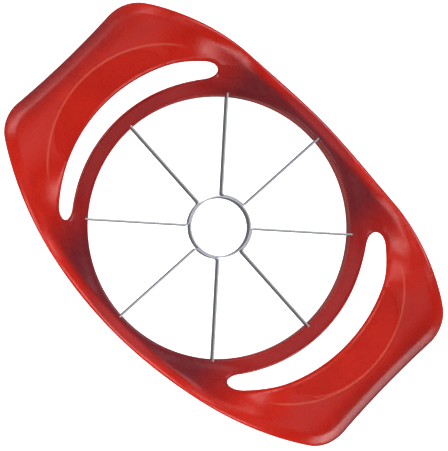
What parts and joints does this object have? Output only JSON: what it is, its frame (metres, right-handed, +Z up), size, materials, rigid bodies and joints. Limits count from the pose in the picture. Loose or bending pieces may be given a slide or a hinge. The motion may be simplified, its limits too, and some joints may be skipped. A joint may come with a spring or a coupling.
{
  "type": "apple slicer",
  "caption": "Two-handled ring cutter that is pushed down over an apple, to core it and cut it into wedges.",
  "frame": {"origin": "on the surface that the ring stands on, at the axis of the core ring", "axes": "+X along the handles, +Y across them, +Z up from the cutting edges to the handles' tops"},
  "size_m": [0.1518, 0.1018, 0.0337],
  "materials": {
    "red_plastic": "satin, finely textured",
    "steel": "polished"
  },
  "bodies": {
    "root": {"frame": "red_plastic", "core_ring": "steel", "blade_strip_1": "steel", "blade_strip_2": "steel", "blade_strip_3": "steel", "blade_strip_4": "steel"}
  },
  "joints": []
}
